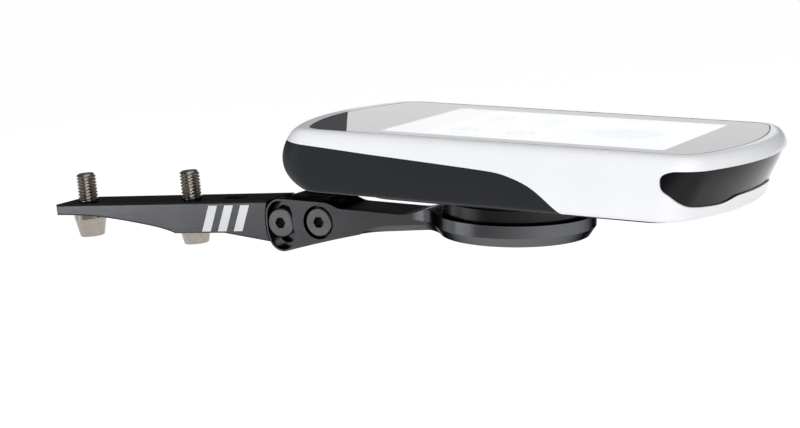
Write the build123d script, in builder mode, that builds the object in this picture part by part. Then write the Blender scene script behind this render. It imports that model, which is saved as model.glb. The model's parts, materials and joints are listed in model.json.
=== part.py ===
from build123d import *
import os
from math import atan2, cos, degrees, radians, sin, sqrt

# Cycling computer locked on its hinged out-front mount. Millimetres, +X towards the front of the bike,
# +Y to the rider's left, +Z up. The origin lies on the bracket's top face, midway between its two bolts.
# Three drawing frames are used: the bracket is drawn straight in this frame; the arm is drawn about
# its pivot; the computer is drawn about the middle of its glass. `arm_place` and `unit_place` put the
# last two where they belong, nose down by `rest_tilt`.

os.makedirs("parts", exist_ok=True)

# ---- Clearances ----------------------------------------------------------------------------------
running = 0.05  # pin in a bore that turns on it
slide_gap = 0.15  # moving button or flap in its pocket
seat_gap = 0.10  # fixed piece in its seat
thread_gap = 0.02  # screw in its tapped hole
turn_gap = 0.25  # faces that turn past each other

# ---- Computer: case ------------------------------------------------------------------------------
case_length = 112.0
case_width = 58.0
flank_depth = 13.6  # glass plane to the lower edge of the side walls
back_raise = 2.4  # back panel below the side walls
end_radius = 58.0  # bow of both ends, seen from above
corner_radius = 7.5
rim_round = 3.3  # rounding between glass and flank
foot_round = 1.1  # rounding along the lower edge
overcut = 4.0  # how far cutting shapes reach past the case
# height below the glass, then the inset of the rear end, the nose and the flanks at that height
form_sections = [
    (0.0, 3.0, 1.7, 0.3),
    (5.0, 0.0, 2.1, 0.0),
    (10.0, 0.6, 4.9, 0.1),
    (flank_depth, 5.0, 5.8, 0.6),
]
cavity_side = 3.0  # outer flank to the inner cavity
cavity_rear = 6.5
cavity_nose = 10.3
cavity_corner = 5.0
liner = 0.8  # inner wall of the rear case, standing inside the top case
floor_wall = 1.5
deep_wall = 1.4  # wall of the raised back panel

# white and black meet on a line that falls from the rear corner and drops to the foot
parting_rear = 2.4
parting_front = 5.5
parting_drop_x = 6.0
parting_foot_x = 18.5
parting_over = 1.0  # the cutting shape's reach below the lower edge

# ---- Computer: glass and display -----------------------------------------------------------------
glass_rear = 6.5  # glass edge to the case end, on the centre line
glass_nose = 5.6
glass_side = 4.0
glass_corner = 5.5
glass_thick = 1.1
glass_edge = 0.15
glass_gap = 0.12
tape_thick = 0.15
tape_in = 0.3  # tape's outer edge from the glass edge
ledge_thick = 1.0
display_x = 4.5  # middle of the display, forward of the middle of the case
display_size = (65.3, 39.2)
panel_border = 1.0
panel_thick = 1.65
tray_border = 1.2
tray_wall = 0.5
tray_floor = 0.6

# ---- Computer: nose panel ------------------------------------------------------------------------
panel_sink = 0.45  # band below the flanks
panel_nose_sink = (0.6, 0.9, 0.4, 0.4)  # and below the nose, at each section of the form
nose_panel_thick = 1.1
panel_tip = 16.0  # tip of the band to the nose, along the flank
panel_top = 2.8
panel_low = 10.05  # lower edge at the nose
panel_dip = 11.0  # and at its lowest, beside the nose
glue_film = 0.08

# ---- Computer: inside ----------------------------------------------------------------------------
seal_height = 0.95
board_top = 5.0
board_thick = 1.0
board_rear = 3.0
board_nose = 6.2
post_rear = 18.0  # rear end to the screw posts
post_nose = 24.0
post_side = 5.0  # case flank to the screw posts
post_radius = 1.8
post_meet = 9.0
screw_radius = 0.9
screw_head_radius = 1.6
screw_head = 1.1
screw_reach = 7.5
battery_size = (46.0, 32.0, 5.6)
battery_x = 11.0
can_thick = 1.9
can_a = (22.0, 18.0, 16.0)  # X of the centre, length, width
can_b = (-16.0, 14.0, 22.0)
buzzer_radius = 5.0
buzzer_thick = 1.8
antenna_size = (3.4, 30.0, 3.2)
pedestal = (78.0, 38.0)  # raised back panel, length and width at its foot
pedestal_x = 2.0
pedestal_corner = 9.0
pedestal_draft = 35.0

# ---- Computer: buttons, port and flap ------------------------------------------------------------
press = 0.5
button_proud = 0.6
end_button = (8.0, 4.4)  # along the wall, along Z
end_button_y = 14.5
end_button_z = -7.0
power_button_size = (10.0, 3.6)
power_button_in = 23.0  # rear end to the middle of the button
power_button_z = -7.2
end_button_sink = 4.1  # rear end to the back of the cap
side_button_sink = 1.6
button_round = 1.2
stem_radius = 1.2
switch_size = (3.2, 4.6, 2.1)
plunger = 0.6
port_size = (7.3, 8.0, 2.6)
card_size = (12.0, 12.0, 1.4)
flap_width = 17.0
flap_top = -3.4
flap_axis_z = -9.3
flap_axis_in = 2.1  # pin to the outer face on the centre line
flap_round = 1.9
flap_back = 0.85  # pin to the flap's inner face
flap_pin_radius = 0.4
flap_pin_overhang = 1.0

# ---- Quarter-turn coupling -----------------------------------------------------------------------
twist_x = -5.05  # turning axis, from the middle of the case
lug_radius = 12.0
lug_wall = 3.5
tab_reach = 2.2  # tabs beyond the lug
tab_angle = 66.0
tab_thick = 1.7
entry_spare = 8.0  # entry slots wider than the tabs, degrees
lip_thick = 1.8
insert_wall = 1.25
collar_lip = 0.64  # collar beyond the neck
collar_edge = 0.4
insert_floor = 1.8
neck_show = 0.4  # neck between collar and arm

# ---- Arm: frame at the pivot bolt ----------------------------------------------------------------
rest_tilt = 5.5
head_reach = 47.75  # pivot to the turning axis
back_height = 9.2  # pivot to the back panel
arm_width = 13.0
arm_waist_top = 3.65
hinge_top = 4.8
head_wall = 2.4
head_floor = 2.4  # under the socket insert
socket_seat = 2.45  # depth of the insert in the head
head_bevel = (1.36, 2.1)  # radial, along Z
head_blend = 10.0  # where the flank flares into the head
under_bevel = 1.3
cheek_gap = 0.15  # tongue to cheek, each side
lock_radius = 10.55
slot_spare = 1.0  # slot left past the bolt at each limit, degrees
slot_rim = 0.4
slot_play = 0.2  # round the bolt's shank
tilt_up = 9.0
tilt_down = 15.0
spot_depth = 2.3
spot_play = 0.6  # round the pivot bolt's head
insert_screw_radius = 1.1
insert_screw_head = 2.2
insert_screw_head_thick = 1.2
insert_screw_circle = 9.5

# ---- Bracket: frame at the top face --------------------------------------------------------------
bolt_spacing = 32.0
bracket_width = 13.0
pivot_x = 55.6
pivot_drop = 5.35
bracket_tail = 5.7  # rear bolt to the rear end
tail_thick = 2.7
mid_thick = 7.65
end_thick = 9.85
mid_start = 14.2
mid_end = 28.6
bracket_bevel = 0.45
tongue_thick = 5.0
tongue_radius = 5.0  # round the pivot
tongue_half = 4.6  # half its height between pivot and bracket
tongue_lap = 0.6  # tongue past the lower end of the lock slot
window_x = 29.0
window_size = (6.0, 4.0)
window_deep = 3.0

# ---- Fasteners -----------------------------------------------------------------------------------
bolt_edge = 0.25  # chamfer round a head, and at a shank's tip
small_socket = 1.3  # across flats, in the case and insert screws
small_socket_deep = 0.6
m4_radius = 2.0
m4_head = 3.4
m4_head_thick = 2.1
m4_socket = 2.5  # across flats
m4_socket_deep = 1.4
m5_radius = 2.5
m5_shank = 2.3
m5_hole = 2.7
m5_reach = 7.0  # thread standing out of the top face
stud_neck = 0.3
taper_top = 4.08
taper_tip = 3.1
taper_height = 6.1
taper_rim = 1.5
taper_socket = 3.0
taper_socket_deep = 3.2
taper_spot = 4.4
rear_seat = 2.85
front_seat = 4.95

# ---- Values that follow --------------------------------------------------------------------------
rear_end = -case_length / 2
nose_end = case_length / 2
flank = case_width / 2
back_depth = flank_depth + back_raise  # glass plane to the raised back panel
glass_height = back_height + back_depth  # pivot to the glass plane
cavity_top = glass_thick + tape_thick + ledge_thick
liner_top = cavity_top + seal_height
floor_top = flank_depth - floor_wall
post_y = flank - post_side
post_spots = [
    (x, y) for x in (rear_end + post_rear, nose_end - post_nose) for y in (-post_y, post_y)
]
power_button_x = rear_end + power_button_in
pivot_z = -pivot_drop
head_bevel_angle = degrees(atan2(head_bevel[0], head_bevel[1]))
arm_place = Location((pivot_x, 0, pivot_z), (0, rest_tilt, 0))
unit_place = arm_place * Location((head_reach - twist_x, 0, glass_height))
band_sections = [
    (depth, rear_in + panel_sink, nose_in + nose_sink, side_in + panel_sink)
    for (depth, rear_in, nose_in, side_in), nose_sink in zip(form_sections, panel_nose_sink)
]
insert_top = glass_height - back_depth - turn_gap
lip_low = insert_top - lip_thick
tab_top = lip_low - turn_gap
tab_low = tab_top - tab_thick
insert_floor_top = tab_low - turn_gap
insert_bottom = insert_floor_top - insert_floor
tab_radius = lug_radius + tab_reach
neck_radius = tab_radius + turn_gap + insert_wall
collar_radius = neck_radius + collar_lip
head_radius = neck_radius + seat_gap + head_wall
head_bottom = insert_bottom - head_floor
head_top = insert_bottom + socket_seat
collar_low = head_top + neck_show
slot_half = m4_head + seat_gap
slot_through = m4_radius + slot_play
pivot_spot = m4_head + spot_play


def bowed_outline(rear, nose, half_width, corner):
    """Plan outline with straight sides, bowed ends and round corners."""
    bow = end_radius - sqrt(end_radius**2 - half_width**2)
    with BuildSketch(mode=Mode.PRIVATE) as outline:
        with BuildLine():
            Line((rear + bow, half_width), (nose - bow, half_width))
            ThreePointArc((nose - bow, half_width), (nose, 0), (nose - bow, -half_width))
            Line((nose - bow, -half_width), (rear + bow, -half_width))
            ThreePointArc((rear + bow, -half_width), (rear, 0), (rear + bow, half_width))
        make_face()
        fillet(outline.vertices(), corner)
    return outline.sketch


def case_form(inset=0.0, sections=form_sections):
    """The form that a list of sections gives, moved inwards by inset all round."""
    with BuildPart(mode=Mode.PRIVATE) as form:
        for depth, rear_in, nose_in, side_in in sections:
            with BuildSketch(Plane.XY.offset(-depth)):
                add(
                    bowed_outline(
                        rear_end + rear_in + inset,
                        nose_end - nose_in - inset,
                        flank - side_in - inset,
                        corner_radius - inset,
                    )
                )
        loft()
    return form.part


def cavity_outline(grow=0.0):
    """Outline of the inner cavity, grown outwards."""
    return bowed_outline(
        rear_end + cavity_rear - grow,
        nose_end - cavity_nose + grow,
        flank - cavity_side + grow,
        cavity_corner + grow,
    )


def glass_outline(grow=0.0):
    """Outline of the cover glass, grown outwards."""
    return bowed_outline(
        rear_end + glass_rear - grow,
        nose_end - glass_nose + grow,
        flank - glass_side + grow,
        glass_corner + grow,
    )


def rectangle_xz(x_low, x_high, z_low, z_high):
    """Rectangle between two corners, for sketches on Plane.XZ."""
    with Locations(((x_low + x_high) / 2, (z_low + z_high) / 2)):
        Rectangle(x_high - x_low, z_high - z_low)


def socket_bolt(head_radius, head_thick, radius, length, flats, socket_deep):
    """Low-head socket bolt: head from z = 0 down to -head_thick, shank up to length."""
    with BuildPart(mode=Mode.PRIVATE) as bolt:
        with BuildSketch(Plane.XY.offset(-head_thick)):
            Circle(head_radius)
        extrude(amount=head_thick)
        chamfer(bolt.faces().sort_by(Axis.Z)[0].edges(), bolt_edge)
        with BuildSketch(Plane.XY):
            Circle(radius)
        extrude(amount=length)
        chamfer(bolt.faces().sort_by(Axis.Z)[-1].edges(), bolt_edge)
        with BuildSketch(Plane.XY.offset(-head_thick)):
            RegularPolygon(flats / 2, 6, major_radius=False)
        extrude(amount=socket_deep, mode=Mode.SUBTRACT)
    return bolt.part


# ==== Case ========================================================================================

with BuildPart() as body:
    add(case_form())
    fillet(body.faces().sort_by(Axis.Z)[-1].edges(), rim_round)
    fillet(body.faces().sort_by(Axis.Z)[0].edges(), foot_round)

# everything below the parting line, right across the case
with BuildPart() as below_parting:
    with BuildSketch(Plane.XZ):
        with BuildLine():
            fall = Spline(
                (rear_end - overcut, -parting_rear + 0.1),
                (rear_end / 2, -(parting_rear + parting_front) / 2),
                (0, -parting_front),
                (parting_drop_x, -parting_front - 0.75),
                tangents=[(1, -0.02), (1, -0.28)],
            )
            drop = Spline(
                fall @ 1,
                (parting_foot_x - 6.5, -flank_depth + 5.0),
                (parting_foot_x - 1.6, -flank_depth + 1.2),
                (parting_foot_x + 1.6, -flank_depth - parting_over),
                tangents=[(1, -0.28), (1, -0.6)],
            )
            Line(drop @ 1, (rear_end - overcut, -flank_depth - parting_over))
            Line((rear_end - overcut, -flank_depth - parting_over), fall @ 0)
        make_face()
    extrude(amount=case_width, both=True)

# the nose band, as it looks from the side
with BuildPart() as nose_band:
    with BuildSketch(Plane.XZ):
        with BuildLine():
            tip_x = nose_end - panel_tip
            band_top = Spline(
                (tip_x, -panel_top - 2.1),
                (tip_x + 1.2, -panel_top - 0.6),
                (tip_x + 4.5, -panel_top),
                tangents=[(0.05, 1), (1, 0)],
            )
            Line(band_top @ 1, (nose_end + overcut, -panel_top))
            Line((nose_end + overcut, -panel_top), (nose_end + overcut, -panel_low))
            step = Line((nose_end + overcut, -panel_low), (nose_end - 5.6, -panel_low))
            Spline(
                step @ 1,
                (nose_end - 6.4, -panel_low - 0.35),
                (nose_end - 7.4, -panel_dip),
                (nose_end - 9.2, -panel_dip),
                (nose_end - 11.4, -panel_dip + 0.7),
                (tip_x + 1.5, -panel_top - 4.9),
                band_top @ 0,
                tangents=[(-1, 0), (0.05, 1)],
            )
        make_face()
    extrude(amount=case_width, both=True)

with BuildPart() as top_case:
    add(body.part)
    add(below_parting.part, mode=Mode.SUBTRACT)
    with BuildSketch(Plane.XY.offset(-glass_thick - tape_thick)):
        add(glass_outline(glass_gap))
    extrude(amount=glass_thick + tape_thick, mode=Mode.SUBTRACT)
    with BuildSketch(Plane.XY.offset(-cavity_top)):
        with Locations((display_x, 0)):
            Rectangle(
                display_size[0] + 2 * panel_border + 2 * seat_gap,
                display_size[1] + 2 * panel_border + 2 * seat_gap,
            )
    extrude(amount=ledge_thick, mode=Mode.SUBTRACT)
    with BuildSketch(Plane.XY.offset(-flank_depth - parting_over)):
        add(cavity_outline(liner + seat_gap))
    extrude(amount=flank_depth + parting_over - cavity_top, mode=Mode.SUBTRACT)
    # posts that take the case screws
    with BuildSketch(Plane.XY.offset(-post_meet)):
        with Locations(post_spots):
            Circle(post_radius)
    extrude(amount=post_meet - cavity_top)
    with BuildSketch(Plane.XY.offset(-post_meet)):
        with Locations(post_spots):
            Circle(screw_radius + thread_gap)
    extrude(amount=post_meet - cavity_top - ledge_thick / 2, mode=Mode.SUBTRACT)
    # pocket of the nose band
    add(nose_band.part - case_form(nose_panel_thick, band_sections), mode=Mode.SUBTRACT)
top_case.part.label = "top_case"
export_step(top_case.part.moved(unit_place), "parts/top_case.step")

with BuildPart() as nose_panel:
    add(nose_band.part)
    add(case_form(0.0, band_sections), mode=Mode.INTERSECT)
    add(case_form(nose_panel_thick - glue_film, band_sections), mode=Mode.SUBTRACT)
nose_panel.part.label = "nose_panel"
export_step(nose_panel.part.moved(unit_place), "parts/nose_panel.step")

# rear end pockets: two end buttons, the flap over port and card slot, and the side button
end_face = Plane.YZ.offset(rear_end - overcut)  # looks forward through the rear end
side_face = Plane.XZ.offset(-flank - overcut)  # looks inward through the left flank
end_cap_x = rear_end + end_button_sink
button_floor_x = end_cap_x + press + seat_gap
side_cap_y = flank - side_button_sink
flap_axis_x = rear_end + flap_axis_in
flap_floor_x = flap_axis_x + flap_back + seat_gap
port_x = flap_floor_x + 0.8
board_low = board_top + board_thick


def end_rectangles(grow=0.0):
    """Outlines of the two end buttons, grown outwards, on the end face."""
    with Locations([(y, end_button_z) for y in (-end_button_y, end_button_y)]):
        RectangleRounded(
            end_button[0] + 2 * grow, end_button[1] + 2 * grow, button_round + grow
        )


with BuildPart() as rear_case:
    # the floor's liner stands inside the top case, above the parting line
    add(below_parting.part)
    with BuildSketch(Plane.XY.offset(-flank_depth - parting_over)):
        add(cavity_outline(liner))
    extrude(amount=flank_depth + parting_over - liner_top)
    add(body.part, mode=Mode.INTERSECT)
    # raised back panel
    with BuildSketch(Plane.XY.offset(-flank_depth)):
        with Locations((pedestal_x, 0)):
            RectangleRounded(*pedestal, pedestal_corner)
    extrude(amount=-(back_depth - flank_depth), taper=pedestal_draft)
    # seat of the case seal
    with BuildSketch(Plane.XY.offset(-liner_top)):
        add(cavity_outline(liner + seat_gap))
    extrude(amount=liner_top, mode=Mode.SUBTRACT)
    with BuildSketch(Plane.XY.offset(-floor_top)):
        add(cavity_outline())
    extrude(amount=floor_top, mode=Mode.SUBTRACT)
    # hollow of the back panel, where the battery lies
    with BuildSketch(Plane.XY.offset(-back_depth + deep_wall)):
        with Locations((battery_x, 0)):
            Rectangle(battery_size[0] + 2 * seat_gap, battery_size[1] + 2 * seat_gap)
    extrude(amount=back_depth - deep_wall - floor_top, mode=Mode.SUBTRACT)
    # sleeves for the case screws
    with BuildSketch(Plane.XY.offset(-floor_top)):
        with Locations(post_spots):
            Circle(post_radius)
    extrude(amount=floor_top - post_meet)
    with Locations([(x, y, -flank_depth) for x, y in post_spots]):
        with Locations(Rotation(180, 0, 0)):
            CounterBoreHole(
                screw_radius + 0.15,
                screw_head_radius + seat_gap,
                screw_head + seat_gap,
                flank_depth - post_meet,
            )
    # end button pockets and stem holes
    with BuildSketch(end_face):
        end_rectangles(slide_gap)
    extrude(amount=button_floor_x - rear_end + overcut, mode=Mode.SUBTRACT)
    with BuildSketch(end_face):
        with Locations([(y, end_button_z) for y in (-end_button_y, end_button_y)]):
            Circle(stem_radius + running)
    extrude(amount=cavity_rear + 2 * overcut, mode=Mode.SUBTRACT)
    # side button pocket and stem hole
    with BuildSketch(side_face):
        with Locations((power_button_x, power_button_z)):
            RectangleRounded(
                power_button_size[0] + 2 * slide_gap,
                power_button_size[1] + 2 * slide_gap,
                button_round + slide_gap,
            )
    extrude(amount=overcut + side_button_sink + press + seat_gap, mode=Mode.SUBTRACT)
    with BuildSketch(side_face):
        with Locations((power_button_x, power_button_z)):
            Circle(stem_radius + running)
    extrude(amount=2 * overcut + cavity_side, mode=Mode.SUBTRACT)
    # flap pocket, its rounded foot, the pin holes, and the mouths of the port and the card slot
    with BuildSketch(Plane.XZ):
        rectangle_xz(rear_end - 1, flap_floor_x, flap_axis_z, flap_top + slide_gap)
        rectangle_xz(
            rear_end - 1, flap_axis_x, flap_axis_z - flap_round - slide_gap, flap_axis_z
        )
        with Locations((flap_axis_x, flap_axis_z)):
            Circle(flap_round + slide_gap)
    extrude(amount=flap_width / 2 + slide_gap, both=True, mode=Mode.SUBTRACT)
    with BuildSketch(Plane.XZ):
        with Locations((flap_axis_x, flap_axis_z)):
            Circle(flap_pin_radius + thread_gap)
    extrude(
        amount=flap_width / 2 + flap_pin_overhang + seat_gap,
        both=True,
        mode=Mode.SUBTRACT,
    )
    with BuildSketch(Plane.XZ):
        rectangle_xz(
            flap_axis_x,
            rear_end + cavity_rear + 1,
            -board_low - port_size[2] - seat_gap,
            -board_low + seat_gap,
        )
    extrude(amount=port_size[0] / 2 + seat_gap, both=True, mode=Mode.SUBTRACT)
    with BuildSketch(Plane.XZ):
        rectangle_xz(
            flap_axis_x,
            rear_end + cavity_rear + 1,
            -board_top - seat_gap,
            -board_top + card_size[2] + seat_gap,
        )
    extrude(amount=card_size[0] / 2 + seat_gap, both=True, mode=Mode.SUBTRACT)
rear_case.part.label = "rear_case"
export_step(rear_case.part.moved(unit_place), "parts/rear_case.step")

with BuildPart() as case_seal:
    with BuildSketch(Plane.XY.offset(-liner_top)):
        add(cavity_outline(liner))
        add(cavity_outline(), mode=Mode.SUBTRACT)
    extrude(amount=seal_height)
case_seal.part.label = "case_seal"
export_step(case_seal.part.moved(unit_place), "parts/case_seal.step")

with BuildPart() as case_screws:
    for x, y in post_spots:
        with Locations(Location((x, y, -flank_depth + screw_head))):
            add(
                socket_bolt(
                    screw_head_radius,
                    screw_head,
                    screw_radius,
                    screw_reach,
                    small_socket,
                    small_socket_deep,
                )
            )
case_screws.part.label = "case_screws"
export_step(case_screws.part.moved(unit_place), "parts/case_screws.step")

# ==== Glass and display ===========================================================================

with BuildPart() as cover_glass:
    with BuildSketch(Plane.XY.offset(-glass_thick)):
        add(glass_outline())
    extrude(amount=glass_thick)
    chamfer(cover_glass.faces().sort_by(Axis.Z)[-1].edges(), glass_edge)
cover_glass.part.label = "cover_glass"
export_step(cover_glass.part.moved(unit_place), "parts/cover_glass.step")

with BuildPart() as glass_tape:
    with BuildSketch(Plane.XY.offset(-glass_thick - tape_thick)):
        add(glass_outline(-tape_in))
        with Locations((display_x, 0)):
            Rectangle(
                display_size[0] + 2 * panel_border + 1.0,
                display_size[1] + 2 * panel_border + 1.0,
                mode=Mode.SUBTRACT,
            )
    extrude(amount=tape_thick)
glass_tape.part.label = "glass_tape"
export_step(glass_tape.part.moved(unit_place), "parts/glass_tape.step")

panel_low_face = glass_thick + panel_thick
with BuildPart() as display_panel:
    with BuildSketch(Plane.XY.offset(-panel_low_face)):
        with Locations((display_x, 0)):
            Rectangle(display_size[0] + 2 * panel_border, display_size[1] + 2 * panel_border)
    extrude(amount=panel_thick - seat_gap / 2)
display_panel.part.label = "display_panel"
export_step(display_panel.part.moved(unit_place), "parts/display_panel.step")

tray_length = display_size[0] + 2 * (panel_border + tray_border)
tray_width = display_size[1] + 2 * (panel_border + tray_border)
with BuildPart() as display_tray:
    with BuildSketch(Plane.XY.offset(-panel_low_face - tray_floor)):
        with Locations((display_x, 0)):
            RectangleRounded(tray_length, tray_width, 0.8)
    extrude(amount=panel_low_face + tray_floor - cavity_top)
    with BuildSketch(Plane.XY.offset(-panel_low_face)):
        with Locations((display_x, 0)):
            Rectangle(tray_length - 2 * tray_wall, tray_width - 2 * tray_wall)
    extrude(amount=panel_low_face, mode=Mode.SUBTRACT)
display_tray.part.label = "display_tray"
export_step(display_tray.part.moved(unit_place), "parts/display_tray.step")

# ==== Electronics =================================================================================

board_rear_x = rear_end + cavity_rear + board_rear
board_nose_x = nose_end - cavity_nose - board_nose
board_half = post_y - post_radius - 2 * seat_gap
with BuildPart() as main_board:
    with BuildSketch(Plane.XY.offset(-board_low)):
        with Locations(((board_rear_x + board_nose_x) / 2, 0)):
            RectangleRounded(board_nose_x - board_rear_x, 2 * board_half, 1.5)
        add(cavity_outline(-slide_gap), mode=Mode.INTERSECT)
    extrude(amount=board_thick)
main_board.part.label = "main_board"
export_step(main_board.part.moved(unit_place), "parts/main_board.step")

with BuildPart() as shield_cans:
    for can_x, can_length, can_width in (can_a, can_b):
        with BuildSketch(Plane.XY.offset(-board_low)):
            with Locations((can_x, 0)):
                RectangleRounded(can_length, can_width, 1.0)
        extrude(amount=-can_thick)
shield_cans.part.label = "shield_cans"
export_step(shield_cans.part.moved(unit_place), "parts/shield_cans.step")

with BuildPart() as battery:
    with BuildSketch(Plane.XY.offset(-back_depth + deep_wall)):
        with Locations((battery_x, 0)):
            Rectangle(battery_size[0], battery_size[1])
    extrude(amount=battery_size[2])
    fillet(battery.edges().filter_by(Axis.X), 1.5)
battery.part.label = "battery"
export_step(battery.part.moved(unit_place), "parts/battery.step")

with BuildPart() as buzzer:
    with BuildSketch(Plane.XY.offset(-board_low)):
        with Locations((can_b[0] - can_b[1] / 2 - buzzer_radius - 1.5, -end_button_y / 2)):
            Circle(buzzer_radius)
    extrude(amount=-buzzer_thick)
buzzer.part.label = "buzzer"
export_step(buzzer.part.moved(unit_place), "parts/buzzer.step")

with BuildPart() as gps_antenna:
    with BuildSketch(Plane.XY.offset(-board_top - antenna_size[2] / 2)):
        with Locations((board_nose_x + seat_gap + antenna_size[0] / 2, 0)):
            RectangleRounded(antenna_size[0], antenna_size[1], 0.8)
    extrude(amount=antenna_size[2])
gps_antenna.part.label = "gps_antenna"
export_step(gps_antenna.part.moved(unit_place), "parts/gps_antenna.step")

with BuildPart() as usb_socket:
    with BuildSketch(Plane.XZ):
        rectangle_xz(port_x, port_x + port_size[1], -board_low - port_size[2], -board_low)
    extrude(amount=port_size[0] / 2, both=True)
    with BuildSketch(Plane.YZ.offset(port_x)):
        with Locations((0, -board_low - port_size[2] / 2)):
            RectangleRounded(port_size[0] - 0.7, port_size[2] - 0.7, 0.5)
    extrude(amount=port_size[1] - 1.5, mode=Mode.SUBTRACT)
    with BuildSketch(Plane.YZ.offset(port_x + 0.5)):
        with Locations((0, -board_low - port_size[2] / 2)):
            Rectangle(port_size[0] - 2.6, 0.6)
    extrude(amount=port_size[1] - 1.5)
usb_socket.part.label = "usb_socket"
export_step(usb_socket.part.moved(unit_place), "parts/usb_socket.step")

with BuildPart() as card_slot:
    with BuildSketch(Plane.XZ):
        rectangle_xz(port_x, port_x + card_size[1], -board_top, -board_top + card_size[2])
    extrude(amount=card_size[0] / 2, both=True)
    with BuildSketch(Plane.YZ.offset(port_x)):
        with Locations((0, -board_top + card_size[2] / 2)):
            Rectangle(card_size[0] - 0.8, card_size[2] - 0.6)
    extrude(amount=card_size[1] - 1, mode=Mode.SUBTRACT)
card_slot.part.label = "card_slot"
export_step(card_slot.part.moved(unit_place), "parts/card_slot.step")

side_switch_y = board_half - switch_size[0] / 2
with BuildPart() as switches:
    with BuildSketch(Plane.XY.offset(-board_low)):
        with Locations(
            [
                (board_rear_x + switch_size[0] / 2, y)
                for y in (-end_button_y, end_button_y)
            ]
        ):
            Rectangle(switch_size[0], switch_size[1])
        with Locations((power_button_x, side_switch_y)):
            Rectangle(switch_size[1], switch_size[0])
    extrude(amount=-switch_size[2])
    with BuildSketch(Plane.YZ.offset(board_rear_x)):
        with Locations([(y, end_button_z) for y in (-end_button_y, end_button_y)]):
            Circle(0.8)
    extrude(amount=-plunger)
    with BuildSketch(Plane.XZ.offset(-board_half)):
        with Locations((power_button_x, power_button_z)):
            Circle(0.8)
    extrude(amount=-plunger)
switches.part.label = "switches"
export_step(switches.part.moved(unit_place), "parts/switches.step")

# ==== Buttons and flap ============================================================================


def end_button_solid(y):
    """End button: cap proud of the rear end, and a stem that reaches its switch."""
    with BuildPart(mode=Mode.PRIVATE) as button:
        with BuildSketch(end_face):
            with Locations((y, end_button_z)):
                RectangleRounded(*end_button, button_round)
        extrude(amount=end_cap_x - rear_end + overcut)
        add(case_form(-button_proud), mode=Mode.INTERSECT)
        with BuildSketch(Plane.YZ.offset(end_cap_x)):
            with Locations((y, end_button_z)):
                Circle(stem_radius)
        extrude(amount=board_rear_x - plunger - press - seat_gap - end_cap_x)
    return button.part


with BuildPart() as lap_button:
    add(end_button_solid(end_button_y))
lap_button.part.label = "lap_button"
export_step(lap_button.part.moved(unit_place), "parts/lap_button.step")

with BuildPart() as start_button:
    add(end_button_solid(-end_button_y))
start_button.part.label = "start_button"
export_step(start_button.part.moved(unit_place), "parts/start_button.step")

with BuildPart() as power_button:
    with BuildSketch(side_face):
        with Locations((power_button_x, power_button_z)):
            RectangleRounded(*power_button_size, button_round)
    extrude(amount=overcut + side_button_sink)
    add(case_form(-button_proud), mode=Mode.INTERSECT)
    with BuildSketch(Plane.XZ.offset(-side_cap_y)):
        with Locations((power_button_x, power_button_z)):
            Circle(stem_radius)
    extrude(amount=side_cap_y - board_half - plunger - press - seat_gap)
power_button.part.label = "power_button"
export_step(power_button.part.moved(unit_place), "parts/power_button.step")

with BuildPart() as usb_flap:
    with BuildSketch(Plane.XZ):
        with Locations((flap_axis_x, flap_axis_z)):
            Circle(flap_round)
        with Locations((flap_axis_x + flap_round, flap_axis_z)):
            Rectangle(2 * flap_round, 2 * flap_round, mode=Mode.SUBTRACT)
        with Locations((flap_axis_x, flap_axis_z)):
            Circle(flap_back)
        rectangle_xz(rear_end - 1, flap_axis_x + flap_back, flap_axis_z, flap_top)
    extrude(amount=flap_width / 2, both=True)
    add(case_form(), mode=Mode.INTERSECT)
    with BuildSketch(Plane.XZ):
        with Locations((flap_axis_x, flap_axis_z)):
            Circle(flap_pin_radius + running)
    extrude(amount=flap_width, both=True, mode=Mode.SUBTRACT)
usb_flap.part.label = "usb_flap"
export_step(usb_flap.part.moved(unit_place), "parts/usb_flap.step")

with BuildPart() as flap_pin:
    with BuildSketch(Plane.XZ):
        with Locations((flap_axis_x, flap_axis_z)):
            Circle(flap_pin_radius)
    extrude(amount=flap_width / 2 + flap_pin_overhang, both=True)
flap_pin.part.label = "flap_pin"
export_step(flap_pin.part.moved(unit_place), "parts/flap_pin.step")

# ==== Quarter-turn lug and its socket =============================================================


def tab_sectors(radius, angle, turn):
    """Two opposite sectors of a disc about the origin, the first centred on the direction turn."""
    with BuildSketch(mode=Mode.PRIVATE) as sectors:
        Circle(radius)
        reach = 2 * radius
        half = radians(angle / 2)
        tip = (reach * cos(half), reach * sin(half))
        with Locations(Rotation(0, 0, turn), Rotation(0, 0, turn + 180)) as spots:
            wedges = [
                spot * Polygon((0, 0), (tip[0], -tip[1]), tip, align=None, mode=Mode.PRIVATE)
                for spot in spots.local_locations
            ]
        add(wedges, mode=Mode.INTERSECT)
    return sectors.sketch


lug_axis = Location((twist_x, 0, 0))
with BuildPart() as bayonet_lug:
    with BuildSketch(Plane.XY.offset(-back_depth)):
        with Locations((twist_x, 0)):
            Circle(lug_radius)
    extrude(amount=-(glass_height - tab_low - back_depth))
    with BuildSketch(Plane.XY.offset(tab_low - glass_height)):
        add(lug_axis * tab_sectors(tab_radius, tab_angle, 0))
    extrude(amount=tab_thick)
    with BuildSketch(Plane.XY.offset(tab_low - glass_height)):
        with Locations((twist_x, 0)):
            Circle(lug_radius - lug_wall)
    extrude(amount=tab_thick, mode=Mode.SUBTRACT)
bayonet_lug.part.label = "bayonet_lug"
export_step(bayonet_lug.part.moved(unit_place), "parts/bayonet_lug.step")

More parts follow.
